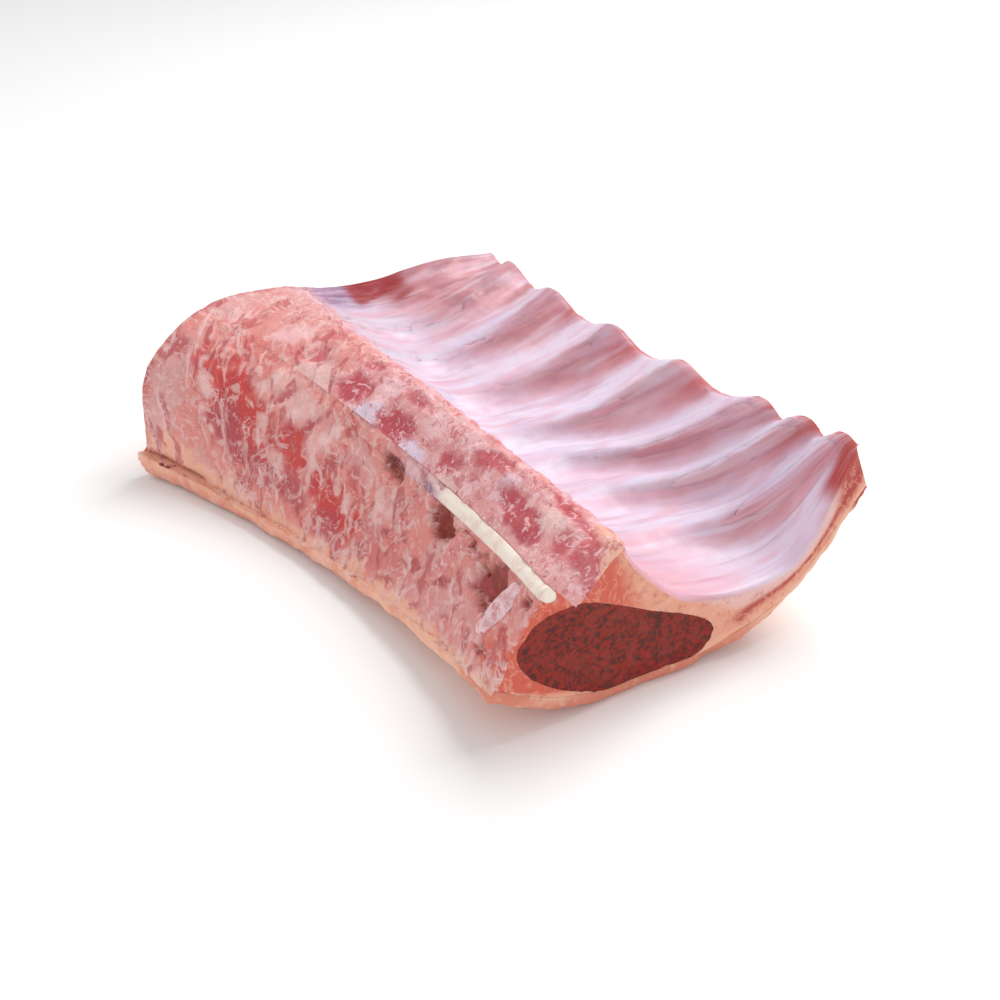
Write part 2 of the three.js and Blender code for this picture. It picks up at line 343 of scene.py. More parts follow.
class RackColours(PropertyGroup):
    """The colours of the raw rack."""

    pink: colour("Pink", "Sawn flesh between the muscles", 228, 142, 134)
    muscle: colour("Muscle", "Red muscle on the sawn face", 208, 72, 68)
    blood: colour("Blood", "Purple-red flesh low on the sawn face", 186, 78, 84)
    # Wedge also paints the shade in the slit under the curled edge at the shoulder end.
    wedge: colour("Wedge", "Brown-red hollows between the feather bones", 142, 50, 38)
    streak: colour("Streak", "Whitish fat and sinew in the flesh", 240, 198, 194)
    ash: colour("Ash", "Greyish pink of cut sinew", 222, 166, 164)
    fat: colour("Fat", "Peach fat cover", 250, 188, 160)
    # Deep fat also stands in as painted shade on the fat near the table and under the loin end.
    deep_fat_and_shade: colour("Deep fat", "Redder fat near the table", 220, 130, 106)
    eye: colour("Eye", "Dark red loin muscle", 152, 40, 26)
    eye_rim: colour("Eye rim", "Brighter red edge of the loin muscle", 146, 16, 6)
    orange_meat: colour("Orange meat", "Meat beside the loin muscle on the cut", 220, 98, 76)
    marrow: colour("Marrow", "Red marrow of the sawn vertebrae", 200, 84, 94)
    cartilage: colour("Cartilage", "Pale cartilage between the vertebrae", 252, 206, 210)
    bone: colour("Bone", "Pale bone of the ribs and feather bones", 246, 212, 216)
    cord: colour("Cord", "Cream spinal cord", 255, 240, 226)
    membrane: colour("Membrane", "Lavender-white membrane inside the ribs", 236, 220, 240)
    rose: colour("Rose", "Pink streaks in the membrane", 232, 172, 188)
    mauve: colour("Mauve", "Dark shade beside each rib's crest", 174, 112, 122)
    tan: colour("Tan", "Flesh that shows between the ribs", 206, 138, 142)
    tip_red: colour("Tip red", "Red flesh at the rib tips", 184, 52, 40)
    purple: colour("Purple", "Purple tinge at the shoulder end", 142, 96, 142)
    end_meat: colour("End meat", "Dark meat that the membrane leaves bare", 158, 44, 50)


class RackSizes(PropertyGroup):
    """How fine the meshes are and how deep their relief is."""

    cells: IntProperty(
        name="Cells along", description="Cells of the meat from end to end", default=175, min=40, max=260
    )
    lumps: FloatProperty(
        name="Lumps", description="Height of the soft lumps",
        default=0.0006, min=0, max=0.003, subtype="DISTANCE",
    )
    grain: FloatProperty(
        name="Grain", description="Height of the small relief",
        default=0.00025, min=0, max=0.002, subtype="DISTANCE",
    )


class RackStudio(PropertyGroup):
    """The floor and the light."""

    floor: colour("Floor", "Pale floor", 254, 254, 254)
    lamp: FloatProperty(
        name="Lamp", description="Power of the overhead light", default=8.1, min=0, subtype="POWER"
    )
    fill: FloatProperty(
        name="Fill", description="Power of the light at the front", default=1.1, min=0, subtype="POWER"
    )
    ambient: FloatProperty(name="Ambient", description="Strength of the light all round", default=0.62, min=0)
    distance: FloatProperty(
        name="Distance", description="From the camera to the rack",
        default=0.4128, min=0.1, subtype="DISTANCE",
    )


def blend(a, b, share):
    """A colour between two others."""
    return mix(np.array(a), np.array(b), share)


class Coat:
    """Colours laid over each other on the points of a piece."""

    def __init__(self, count, base):
        self.rgb = np.tile(np.array(base, float), (count, 1))

    def lay(self, over, cover):
        cover = np.clip(cover, 0, 1)[:, None]
        self.rgb = self.rgb * (1 - cover) + np.array(over, float) * cover

    def put_on(self, mesh):
        layer = mesh.attributes.new("tint", "FLOAT_COLOR", "POINT")
        rgba = np.concatenate([self.rgb, np.ones((len(self.rgb), 1))], axis=1)
        layer.data.foreach_set("color", rgba.astype(np.float32).ravel())


def rumple(points, size, seed=0.0, octaves=3):
    """Noise from about -1 to 1 at points in millimetres, with features of a size."""
    spots = points / size + seed
    return np.array([noise.fractal(Vector(spot), 0.9, 2.0, octaves) for spot in spots])


def drawn_rumple(points, squeeze, size, seed):
    """The same noise with features drawn out across the rack and upwards, 1 / squeeze times as long."""
    return rumple(points * np.array([1, squeeze, squeeze]), size, seed)


def patch(along_mm, across_mm, centre, radii, tilt, ragged):
    """1 in the middle of an oval patch and 0 outside it, with an edge broken by noise."""
    dx = along_mm - centre[0]
    dy = across_mm - centre[1]
    turned = (dx * math.cos(tilt) + dy * math.sin(tilt), dy * math.cos(tilt) - dx * math.sin(tilt))
    reach = np.sqrt((turned[0] / radii[0]) ** 2 + (turned[1] / radii[1]) ** 2)
    return fade(0.65, 1.2, reach + ragged)


# How far a patch of each colour stands out of its surroundings, in millimetres.
PATCH_RISE = {"wedge": -2.4, "marrow": -0.55, "blood": -0.45, "muscle": -0.3, "streak": 0.35, "membrane": 0.3}


def lay_patches(patches, coat, colours, u, share, height, points):
    """Lays patches, each given by u and a share of the height. Returns how far the points rise with them."""
    rise = np.zeros(len(u))
    ragged = 0.32 * rumple(points, 6.0, 2.0) + 0.25 * rumple(points, 2.4, 5.0)
    for at, level, half_length, half_height, tilt, tone, cover in patches:
        centre = (at * LENGTH, level * height)
        shape = patch(u * LENGTH, share * height, centre, (half_length, half_height), tilt, ragged)
        coat.lay(getattr(colours, tone), cover * shape)
        rise = mix(rise, PATCH_RISE.get(tone, 0), shape)
    return rise * MM


def keep_lie(mesh, u, v, w):
    """Keeps on each point how it lies along the ribs, for patterns that follow them, in metres."""
    lie = np.stack([rib_root(u, v) * LENGTH, v * OUTLINE, w * RIB_HALF_DEPTH], axis=1) * MM
    layer = mesh.attributes.new("lie", "FLOAT_VECTOR", "POINT")
    layer.data.foreach_set("vector", lie.astype(np.float32).ravel())


# ---- meshes ----

SPACE = "space_for_"
PAST_ENDS = 0.015  # share of the length by which a space runs past both ends
PAST_FACE = 3.0  # millimetres by which it stands out of the face
SAME_PLACE = 1e-6  # points nearer than this along an axis lie at the same place on it
LEAST_DISTANCE = 1e-7  # keeps the weight of a point finite where another lies on it


def block(name, segments, bend, crowd=(0.0, 0.0)):
    """A cube cut into a lattice and bent to its place. Returns the piece and its points' u, v and w.

    The lattice's cells crowd towards both ends of u and of v, from evenly at 0 to fully at 1.
    """
    shape = bmesh.new()
    bmesh.ops.create_cube(shape, size=1)
    for axis, count in enumerate(segments):
        if count == 1:
            continue
        edges = [e for e in shape.edges if abs(e.verts[0].co[axis] - e.verts[1].co[axis]) > SAME_PLACE]
        bmesh.ops.subdivide_edges(shape, edges=edges, cuts=count - 1, use_grid_fill=True)
    mesh = bpy.data.meshes.new(name)
    shape.to_mesh(mesh)
    shape.free()
    shares = read_points(mesh) + 0.5
    for axis, share in enumerate(crowd):
        shares[:, axis] -= share * np.sin(2 * np.pi * shares[:, axis]) / (2 * np.pi)
    write_points(mesh, bend(*shares.T) * MM)
    mesh.shade_smooth()
    piece = bpy.data.objects.new(name, mesh)
    bpy.context.scene.collection.objects.link(piece)
    return piece, shares.T


def with_space(name, segments, bend):
    """A bent block, and a hidden space for it that runs past its sawn ends and outer face."""
    space, _ = block(SPACE + name, segments, lambda *shares: bend(*shares, 1.0))
    space.hide_render = True
    return block(name, segments, lambda *shares: bend(*shares, 0.0))


def read_points(mesh):
    flat = np.zeros(len(mesh.vertices) * 3)
    mesh.vertices.foreach_get("co", flat)
    return flat.reshape(-1, 3)


def write_points(mesh, points):
    mesh.vertices.foreach_set("co", np.ascontiguousarray(points, dtype=np.float32).ravel())
    mesh.update()


def longer(u, beyond):
    """u stretched past both ends for a space."""
    return mix(-PAST_ENDS * beyond, 1 + PAST_ENDS * beyond, u)


def swell(piece, height):
    """Moves each point out along its normal by a height in metres."""
    mesh = piece.data
    normals = np.zeros(len(mesh.vertices) * 3)
    mesh.vertex_normals.foreach_get("vector", normals)
    write_points(mesh, read_points(mesh) + normals.reshape(-1, 3) * height[:, None])


def lift(piece, u, v, height):
    """Moves each point out square to the upper outline by a height in metres."""
    out = place(u, under(u, v, np.full_like(u, -1.0))) - place(u, outline(UPPER, u, v))
    write_points(piece.data, read_points(piece.data) + out * height[:, None])


def disc(a, b):
    """Shares of a square, each from 0 to 1, as points of the unit circle."""
    a = 2 * a - 1
    b = 2 * b - 1
    return a * np.sqrt(1 - b * b / 2), b * np.sqrt(1 - a * a / 2)


LAYERS = {"tint": ("FLOAT_COLOR", "color", 4), "lie": ("FLOAT_VECTOR", "vector", 3)}
CORNER = math.radians(50)  # faces that meet more sharply than this don't shade into each other


def read_layer(mesh, name):
    _, key, width = LAYERS[name]
    flat = np.zeros(len(mesh.vertices) * width)
    mesh.attributes[name].data.foreach_get(key, flat)
    return flat.reshape(-1, width)


def lay_again(mesh, points, layers):
    """Gives each point of a cut mesh what its three nearest points had before the cut."""
    tree = kdtree.KDTree(len(points))
    for index, point in enumerate(points):
        tree.insert(point, index)
    tree.balance()
    near = [tree.find_n(point, 3) for point in read_points(mesh)]
    index = np.array([[found[1] for found in row] for row in near])
    weight = 1 / (np.array([[found[2] for found in row] for row in near]) + LEAST_DISTANCE)
    weight /= weight.sum(axis=1)[:, None]
    for name, values in layers.items():
        kind, key, _ = LAYERS[name]
        layer = mesh.attributes.get(name) or mesh.attributes.new(name, kind, "POINT")
        shared = (values[index] * weight[..., None]).sum(axis=1)
        layer.data.foreach_set(key, shared.astype(np.float32).ravel())


def carve(piece, others, operation="DIFFERENCE"):
    """Cuts other pieces out of a piece, joins them to it, or keeps what it shares with them."""
    sources = [piece, *others] if operation == "UNION" else [piece]
    names = [name for name in LAYERS if name in piece.data.attributes]
    points = np.concatenate([read_points(source.data) for source in sources])
    layers = {name: np.concatenate([read_layer(source.data, name) for source in sources]) for name in names}
    for other in others:
        cut = piece.modifiers.new("Carve", "BOOLEAN")
        cut.operation = operation
        cut.solver = "MANIFOLD"
        cut.object = other
    bpy.context.view_layer.update()
    evaluated = piece.evaluated_get(bpy.context.evaluated_depsgraph_get())
    mesh = bpy.data.meshes.new_from_object(evaluated)
    piece.modifiers.clear()
    piece.data = mesh
    if layers:
        lay_again(mesh, points, layers)
    mesh.set_sharp_from_angle(angle=CORNER)


def finish_piece(piece, slot, *nodes):
    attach(piece, "root")
    if nodes:
        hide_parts(*nodes)


# ---- materials ----


class Finish:
    """A material and the nodes that feed its shader."""

    def __init__(self, name):
        self.material = bpy.data.materials.new(name)
        self.material.use_nodes = True
        self.tree = self.material.node_tree
        self.shader = self.tree.nodes["Principled BSDF"]
        self.where = self.node("ShaderNodeTexCoord").outputs["Object"]
        self.lie = self.node("ShaderNodeAttribute", attribute_name="lie").outputs["Vector"]
        self.tint = self.node("ShaderNodeAttribute", attribute_name="tint").outputs["Color"]

    def node(self, kind, inputs=None, **settings):
        node = self.tree.nodes.new(kind)
        for name, value in settings.items():
            setattr(node, name, value)
        for name, value in (inputs or {}).items():
            self.feed(node.inputs[name], value)
        return node

    def feed(self, socket, value):
        if isinstance(value, bpy.types.NodeSocket):
            self.tree.links.new(value, socket)
        else:
            socket.default_value = value

    def noise(self, size, detail=3.0, roughness=0.5, distortion=0.0, stretch=None, turn=0.0):
        """Noise from 0 to 1 with features of a size in millimetres.

        Stretched noise follows the ribs' lie: its features are as many times as long as stretch says.
        """
        vector = self.where
        if stretch:
            inputs = {"Vector": self.lie, "Rotation": (0, 0, turn), "Scale": stretch}
            vector = self.node("ShaderNodeMapping", inputs, vector_type="TEXTURE").outputs["Vector"]
        inputs = {
            "Vector": vector,
            "Scale": 1000 / size,
            "Detail": detail,
            "Roughness": roughness,
            "Distortion": distortion,
        }
        return self.node("ShaderNodeTexNoise", inputs).outputs["Fac"]

    def between(self, value, low, high, to_low=0.0, to_high=1.0):
        inputs = {"Value": value, "From Min": low, "From Max": high, "To Min": to_low, "To Max": to_high}
        return self.node("ShaderNodeMapRange", inputs, interpolation_type="SMOOTHSTEP").outputs["Result"]

    def band(self, value, middle, width):
        """1 where a value is at the middle and 0 beyond a width either side."""
        off = self.node("ShaderNodeMath", {0: value, 1: middle}, operation="SUBTRACT").outputs[0]
        away = self.node("ShaderNodeMath", {0: off}, operation="ABSOLUTE").outputs[0]
        return self.between(away, 0.0, width, 1.0, 0.0)

    def veil(self, dark, pale):
        """0 where the tint is as dark as a hollow or bare muscle, and 1 where it is pale."""
        return self.between(self.node("ShaderNodeRGBToBW", {"Color": self.tint}).outputs["Val"], dark, pale)

    def times(self, a, b):
        return self.node("ShaderNodeMath", {0: a, 1: b}, operation="MULTIPLY").outputs[0]

    def mixed(self, base, over, share, blend="MIX"):
        node = self.node("ShaderNodeMix", data_type="RGBA", blend_type=blend)
        self.feed(node.inputs[0], share)
        self.feed(node.inputs[6], base)
        self.feed(node.inputs[7], over)
        return node.outputs[2]

    def dab(self, base, over, share, low, high, *noise, **lie):
        """Lays a colour over a base where noise is high."""
        spots = self.between(self.noise(*noise, **lie), low, high)
        return self.mixed(base, over, self.times(spots, share))

    def relief(self, *layers):
        """Relief from layers of (height from 0 to 1, depth in millimetres)."""
        normal = None
        for height, depth in layers:
            inputs = {"Height": height, "Distance": depth * MM, "Strength": 1.0}
            if normal is not None:
                inputs["Normal"] = normal
            normal = self.node("ShaderNodeBump", inputs).outputs["Normal"]
        self.feed(self.shader.inputs["Normal"], normal)

    def soft(self, weight, radius_mm, gloss=0.5, coat=0.0, coat_roughness=0.3):
        self.shader.inputs["Subsurface Weight"].default_value = weight
        self.shader.inputs["Subsurface Radius"].default_value = (1.0, 0.35, 0.25)
        self.shader.inputs["Subsurface Scale"].default_value = radius_mm * MM
        self.shader.inputs["Specular IOR Level"].default_value = gloss
        self.shader.inputs["Coat Weight"].default_value = coat
        self.shader.inputs["Coat Roughness"].default_value = coat_roughness

    def done(self, base, grain, low, high):
        """Feeds the shader a colour, and a roughness that follows the grain. Returns the material."""
        self.feed(self.shader.inputs["Base Color"], base)
        self.feed(self.shader.inputs["Roughness"], self.between(grain, 0.3, 0.7, low, high))
        return self.material


# Shades that only a finish lays over a piece's own colours.
PALE_STREAK = (0.86, 0.8, 0.9, 1.0)
LAVENDER = (0.66, 0.56, 0.76, 1.0)
EYE_GRAIN = (0.07, 0.01, 0.007, 1.0)
EYE_BUNDLES = (0.34, 0.04, 0.025, 1.0)
EYE_FLECKS = (0.36, 0.1, 0.07, 1.0)
CREAM = (0.9, 0.66, 0.48, 1.0)
GREY = (0.9, 0.9, 0.9, 1.0)


def rgba(rgb):
    return (*rgb, 1.0)


def sawn_finish(colours):
    """The face that the saw made: whitish sinews drawn down the face, and darker flecks in the flesh."""
    f = Finish("Sawn flesh")
    streak, blood = rgba(colours.streak), rgba(colours.blood)
    sinew = f.between(f.noise(4.6, 2.0, 0.5, 1.2, (1, 2.6, 1), 0.5), 0.52, 0.66)
    veil = f.veil(0.08, 0.17)
    base = f.mixed(f.tint, streak, f.times(f.times(sinew, veil), 0.7))
    base = f.dab(base, blood, 0.7, 0.52, 0.66, 5.0, 2.5, 0.55, 0.8, stretch=(1, 2.2, 1), turn=0.5)
    base = f.dab(base, streak, f.times(veil, 0.55), 0.55, 0.66, 5.0, 2.5, 0.5, 1.6)
    base = f.dab(base, blood, 0.35, 0.6, 0.72, 1.8, 3.0, 0.6)
    lines = f.band(f.noise(9.0, 2.0, 0.5, 2.2), 0.5, 0.045)
    curls = f.times(lines, f.between(f.noise(15.0, 2.0), 0.44, 0.58))
    base = f.mixed(base, streak, f.times(f.times(curls, veil), 0.7))
    f.soft(0.12, 1.5, 0.4)
    f.relief((sinew, 0.1), (curls, 0.12), (f.noise(1.1, 3.0, 0.6), 0.14), (f.noise(4.0, 2.0), 0.5))
    return f.done(base, f.noise(5.0), 0.38, 0.6)


def membrane_finish(colours):
    """The smooth membrane inside the ribs, with fine streaks that run as the ribs do."""
    f = Finish("Rib membrane")
    fine = f.noise(1.5, 3.0, 0.55, 0.3, (1, 16, 1))
    veil = f.veil(0.08, 0.24)
    rose = rgba(colours.rose)
    base = f.dab(f.tint, rose, f.times(veil, 0.42), 0.44, 0.66, 5.5, 2.0, 0.5, 0.4, stretch=(1, 10, 1))
    base = f.dab(base, PALE_STREAK, f.times(veil, 0.34), 0.48, 0.7, 4.2, 2.0, 0.5, 0.5, stretch=(1, 8.3, 1))
    base = f.dab(base, rgba(colours.mauve), 0.32, 0.52, 0.74, 4.0, 2.0, 0.55, 0.5, stretch=(1, 7.1, 1))
    base = f.dab(base, LAVENDER, f.times(veil, 0.35), 0.5, 0.72, 8.0, 3.0, 0.5, 0.8, stretch=(1, 2.9, 1))
    base = f.mixed(base, rgba(colours.streak), f.times(f.between(fine, 0.55, 0.75), 0.2))
    f.soft(0.2, 2.0, 0.4, 0.05, 0.3)
    f.relief((fine, 0.05), (f.noise(1.4, 2.0, 0.5), 0.04), (f.noise(7.0, 2.0), 0.4))
    return f.done(base, f.noise(6.0), 0.32, 0.52)


def cut_finish(colours):
    """The knife-cut ends: smooth meat with seams of fat."""
    f = Finish("Cut meat")
    grain = f.noise(1.2, 3.0, 0.6)
    seams = f.band(f.noise(9.0, 3.0, 0.5, 1.0), 0.5, 0.03)
    base = f.mixed(f.tint, rgba(colours.fat), f.times(seams, 0.4))
    base = f.dab(base, rgba(colours.tip_red), 0.4, 0.52, 0.7, 2.6, 3.0, 0.6)
    base = f.dab(base, rgba(colours.fat), 0.35, 0.54, 0.7, 3.6, 3.0, 0.6, 0.5)
    f.soft(0.12, 1.2, 0.4)
    f.relief((grain, 0.14), (f.noise(5.0, 2.0), 0.5))
    return f.done(base, grain, 0.36, 0.52)


def eye_finish():
    """The cut loin muscle: coarse dark grain with a few pale flecks of fat."""
    f = Finish("Loin muscle")
    grain = f.noise(1.5, 3.0, 0.65, 0.3)
    bundles = f.noise(4.5, 2.0, 0.5, 0.5)
    base = f.mixed(f.tint, EYE_GRAIN, f.times(f.between(grain, 0.42, 0.6), 0.95))
    base = f.mixed(base, EYE_BUNDLES, f.times(f.between(bundles, 0.45, 0.65), 0.5))
    base = f.dab(base, EYE_FLECKS, 0.4, 0.64, 0.76, 2.2, 3.0, 0.6)
    f.soft(0.05, 0.8, 0.25)
    f.relief((grain, 0.2), (bundles, 0.3))
    return f.done(base, grain, 0.6, 0.42)


def fat_finish(colours):
    """Firm peach fat with rosy clouds and a few thin red threads."""
    f = Finish("Fat cover")
    threads = f.times(f.band(f.noise(12.0, 3.0, 0.6, 1.2), 0.5, 0.012), f.between(f.noise(20.0), 0.5, 0.65))
    base = f.dab(f.tint, rgba(colours.deep_fat_and_shade), 0.5, 0.45, 0.66, 9.0, 4.0, 0.55, 0.5)
    base = f.dab(base, CREAM, 0.4, 0.52, 0.7, 3.0, 3.0, 0.6)
    base = f.dab(base, rgba(colours.muscle), 0.25, 0.6, 0.74, 2.4, 3.0, 0.6)
    base = f.mixed(base, rgba(colours.muscle), f.times(threads, 0.45))
    f.soft(0.2, 2.5, 0.4)
    f.relief((f.noise(1.6, 3.0, 0.55), 0.14), (f.noise(6.0, 3.0), 0.6))
    return f.done(base, f.noise(4.0), 0.36, 0.54)


def bone_finish(colours, name, pits):
    """Sawn bone: smooth at its edge and pitted like a sponge where the marrow shows."""
    f = Finish(name)
    inputs = {"Vector": f.where, "Scale": 1000 / pits}
    cells = f.node("ShaderNodeTexVoronoi", inputs, feature="DISTANCE_TO_EDGE")
    sponge = f.between(cells.outputs["Distance"], 0.02, 0.3)
    base = f.dab(f.tint, rgba(colours.marrow), 0.6, 0.53, 0.64, 4.0, 4.0, 0.62, 1.2)
    base = f.dab(base, rgba(colours.cartilage), 0.75, 0.54, 0.63, 3.4, 4.0, 0.6, 1.4)
    base = f.dab(base, rgba(colours.blood), 0.35, 0.58, 0.7, 1.5, 3.0, 0.6)
    f.soft(0.12, 1.5, 0.4)
    f.relief((sponge, 0.1), (f.noise(1.3, 3.0, 0.6), 0.18), (f.noise(4.0), 0.45))
    return f.done(base, f.noise(3.0), 0.4, 0.62)


def cord_finish(colours):
    """The smooth cream cord with faint blotches."""
    f = Finish("Spinal cord")
    fibres = f.noise(1.4, 3.0, 0.5, 0.3)
    base = f.dab(f.tint, rgba(colours.ash), 0.35, 0.54, 0.7, 3.0, 3.0, 0.6, 0.5)
    f.soft(0.15, 1.5, 0.4)
    f.relief((fibres, 0.12), (f.noise(5.0), 0.4))
    return f.done(base, fibres, 0.3, 0.46)


def floor_finish(tone):
    """A matt pale floor with a trace of mottling."""
    f = Finish("Floor")
    mottle = f.between(f.noise(40.0), 0.3, 0.7, 0.0, 0.03)
    f.feed(f.shader.inputs["Base Color"], f.mixed(rgba(tone), GREY, mottle))
    f.shader.inputs["Roughness"].default_value = 0.9
    f.shader.inputs["Specular IOR Level"].default_value = 0.1
    return f.material


# ---- the pieces ----


def unevenness(sizes, points, u, smoothness):
    """Soft lumps and small relief, the same on pieces where they meet, and less at the cut ends."""
    lumps = sizes.lumps * mix(1.4, 0.45, smoothness) * rumple(points, 8.0)
    small = sizes.grain * mix(1.9, 0.35, smoothness) * rumple(points, 2.4, 7)
    return (lumps + small) * mix(0.35, 1, smooth(0, 5, from_ends(u)))


class RACK_OT_loin_eye(Operator):
    """Models the long loin muscle, which shows at both ends"""

    bl_idname = "rack.loin_eye"
    bl_label = "Loin eye"

    def execute(self, context):
        sizes, colours = context.scene.rack_sizes, context.scene.rack_colours

        def bar(u, a, b, beyond):
            across, up = disc(a, b)
            u = mix(-2 * PAST_ENDS, 1 + 2 * PAST_ENDS, u)
            flatter = np.where(up > 0, EYE_FLATTER * smooth(*EYE_FLATTENING, across), 0)
            height = along(EYE_HALF_HEIGHT, u) * (1 - flatter)
            right = across * along(EYE_HALF_WIDTH, u)
            y = along([point[0] for point in EYE_MIDDLE], u) + right
            z = along([point[1] for point in EYE_MIDDLE], u) + right * along(EYE_LEAN, u) + up * height
            return place(u, np.stack([y, z], axis=1))

        def inner_body(u, v, w, beyond):
            u = longer(u, beyond)
            top = outline(UPPER, u, v) - np.array([0, EYE_COVER])
            return place(u, mix(fat_top(u, v, GAP - beyond), top, w[:, None]))

        piece, _ = with_space("loin_eye_muscle", (60, 30, 22), bar)
        limits, _ = with_space("eye_limits", (60, 60, 6), inner_body)
        piece.data.materials.append(eye_finish())
        carve(piece, [limits], "INTERSECT")
        limits_space = bpy.data.objects[SPACE + "eye_limits"]
        carve(bpy.data.objects[SPACE + "loin_eye_muscle"], [limits_space], "INTERSECT")
        bpy.data.objects.remove(limits)
        bpy.data.objects.remove(limits_space)
        points = read_points(piece.data) / MM
        ends = np.abs(points[:, 0])
        edge = smooth(*EYE_CUT, ends)
        swell(piece, edge * sizes.grain * 1.6 * rumple(points, 2.2, 3.0))
        coat = Coat(len(points), colours.eye)
        coat.lay(colours.eye_rim, 0.8 * fade(4.5, 9.5, points[:, 2] + 2 * rumple(points, 6.0, 5.0)))
        coat.lay(colours.eye_rim, 0.35 * smooth(0.0, 0.6, rumple(points, 9.0, 8.0)))
        coat.put_on(piece.data)
        finish_piece(piece, "lean", "loin_eye")
        return {"FINISHED"}


class RACK_OT_rib_bones(Operator):
    """Models the rib bones, from behind the chine to their sawn tips"""

    bl_idname = "rack.rib_bones"
    bl_label = "Rib bones"

    def execute(self, context):
        colours = context.scene.rack_colours
        finishes = (membrane_finish(colours), bone_finish(colours, "Rib bone", 0.9))
        for rib in range(len(RIB_ROOTS)):

            def bar(share, a, b, beyond, rib=rib):
                across, up = disc(a, b)
                v = mix(RIB_START_AT, 1, share)
                u = rib_at(rib, v)
                worn = 1 - RIB_WEAR * smooth(0.96, 1, share)
                section = under(u, v, RIB_HALF_DEPTH - RIB_PROUD - up * RIB_HALF_DEPTH * worn + tip_drop(v))
                section[:, 0] += np.where(share > SAWN_END, PROUD + PAST_FACE * beyond, 0)
                points = place(u, section)
                points[:, 0] += across * RIB_HALF_WIDTH * worn
                return points

            piece, (share, a, b) = with_space(f"rib_{rib + 1}", (70, 8, 8), bar)
            for finish in finishes:
                piece.data.materials.append(finish)
            for face in piece.data.polygons:
                face.material_index = int(share[list(face.vertices)].min() > SAWN_END)
            points = read_points(piece.data) / MM
            swell(piece, RIB_GRAIN * rumple(points, 3.0, rib))
            v = mix(RIB_START_AT, 1, share)
            u = rib_at(rib, v) + disc(a, b)[0] * RIB_HALF_WIDTH / LENGTH
            coat = Coat(len(points), colours.bone)
            paint_rib_side(coat, colours, u, v, points)
            heart = fade(0.5, 0.8, np.hypot(*disc(a, b)))
            sawn = share > SAWN_END
            coat.lay(blend(colours.bone, colours.tan, 0.5), sawn)
            coat.lay(colours.marrow, 0.85 * heart * sawn)
            coat.put_on(piece.data)
            keep_lie(piece.data, u, v, 0.5 + 0.5 * disc(a, b)[1])
            finish_piece(piece, "rib", f"rib_bone_{rib + 1}")
        return {"FINISHED"}


class RACK_OT_backbone(Operator):
    """Models the sawn vertebrae along the ridge, with the feather bones that show"""

    bl_idname = "rack.backbone"
    bl_label = "Backbone"

    def execute(self, context):
        sizes, colours = context.scene.rack_sizes, context.scene.rack_colours

        def row(u, v, w, beyond):
            u = longer(u, beyond)
            waist = CHINE_WAIST * np.sin(np.pi * VERTEBRAE * u) ** 2
            start = np.full_like(u, CANAL_AT)
            deepest = under(u, start, CHINE_DEPTH - waist)
            deepest_behind = under(u, np.full_like(u, CHINE_END_AT), np.full_like(u, CHINE_DEPTH_BEHIND))
            drop = corner_drop(MEAT_CORNER, from_ends(u)) * (1 - beyond)
            proud = PROUD * smooth(*SAWN_FROM, u) + PAST_FACE * beyond
            outside = under(u, mix(CANAL_AT, CHINE_END_AT, v), drop - proud)
            inside = mix(deepest, deepest_behind, v[:, None])
            return place(u, mix(inside, outside, w[:, None]))

        piece, (u, v, w) = with_space("chine_row", (200, 30, 8), row)
        piece.data.materials.append(bone_finish(colours, "Sawn vertebrae", 1.1))
        piece.data.materials.append(sawn_finish(colours))
        points = read_points(piece.data) / MM
        outer = smooth(0.9, 1, w)
        in_outline = mix(CANAL_AT, CHINE_END_AT, v)
        keep_lie(piece.data, u, in_outline, w)
        bony = smooth(SAWN_FROM[0] - 0.08, SAWN_FROM[0] + 0.02, u + 0.04 * rumple(points, 7.0, 3.0))
        for face in piece.data.polygons:
            face.material_index = int(bony[list(face.vertices)].mean() < 0.5)
        coat = Coat(len(points), blend(colours.pink, colours.cartilage, 0.4))
        coat.lay(colours.cartilage, 0.6 * smooth(0.0, 0.5, rumple(points, 6.0, 2.0)))
        coat.lay(colours.marrow, 0.35 * smooth(0.1, 0.5, rumple(points, 5.0, 12.0)))
        flesh = Coat(len(points), colours.pink)
        flesh_rise = paint_sawn_face(flesh, colours, u, in_outline, points)
        coat.lay(flesh.rgb, 1 - bony)
        rise = mix(flesh_rise, paint_backbone(coat, colours, u, v, points), smooth(0.0, 0.15, v + bony))
        coat.put_on(piece.data)
        lift(piece, u, in_outline, (rise + unevenness(sizes, points, u, 0.0)) * outer)
        feathers = [feather_bone(index, sizes, colours) for index in range(len(FEATHERS))]
        carve(piece, feathers, "UNION")
        for feather in feathers:
            bpy.data.objects.remove(feather)
        finish_piece(piece, "sawn_bone", "backbone")
        return {"FINISHED"}


